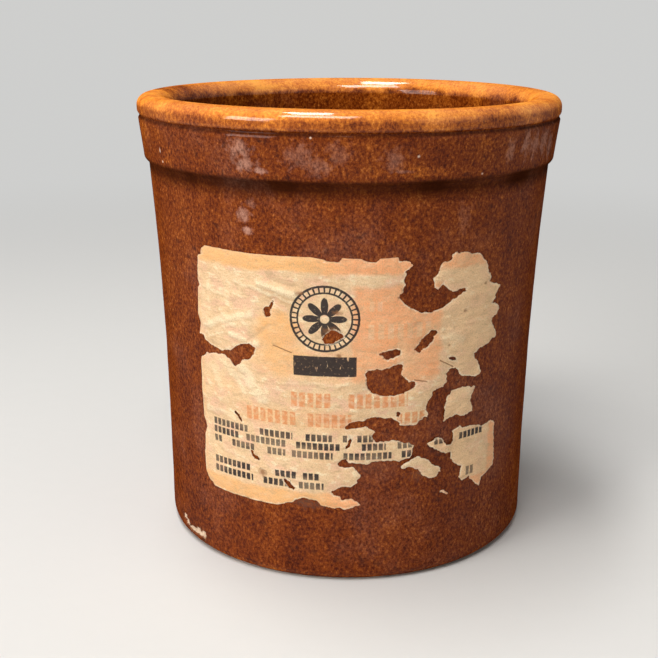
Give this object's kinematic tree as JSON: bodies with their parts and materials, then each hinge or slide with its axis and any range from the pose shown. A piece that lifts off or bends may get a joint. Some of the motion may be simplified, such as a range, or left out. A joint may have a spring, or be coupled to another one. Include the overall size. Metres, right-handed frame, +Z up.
{
  "type": "stoneware crock",
  "caption": "Open brown-glazed stoneware food crock with a flared collar, a rounded rim bead and the torn remains of a paper label glued to its front.",
  "frame": {"origin": "centre of the flat foot that the crock stands on", "axes": "+Z up along the crock's axis, out of the mouth; the label faces -Y"},
  "size_m": [0.1204, 0.1204, 0.127],
  "materials": {
    "bare_clay": "unglazed buff stoneware, dry and matt",
    "brown_glaze": "glossy rust-brown glaze with fine dark and light speckle",
    "label_paper": "aged uncoated paper, worn and torn"
  },
  "bodies": {
    "root": {"clay_body": "bare_clay", "glaze_coat": "brown_glaze", "label_main": "label_paper", "label_side_scrap": "label_paper", "label_corner_scrap": "label_paper", "label_lower_scrap": "label_paper", "label_fleck": "label_paper"}
  },
  "joints": []
}
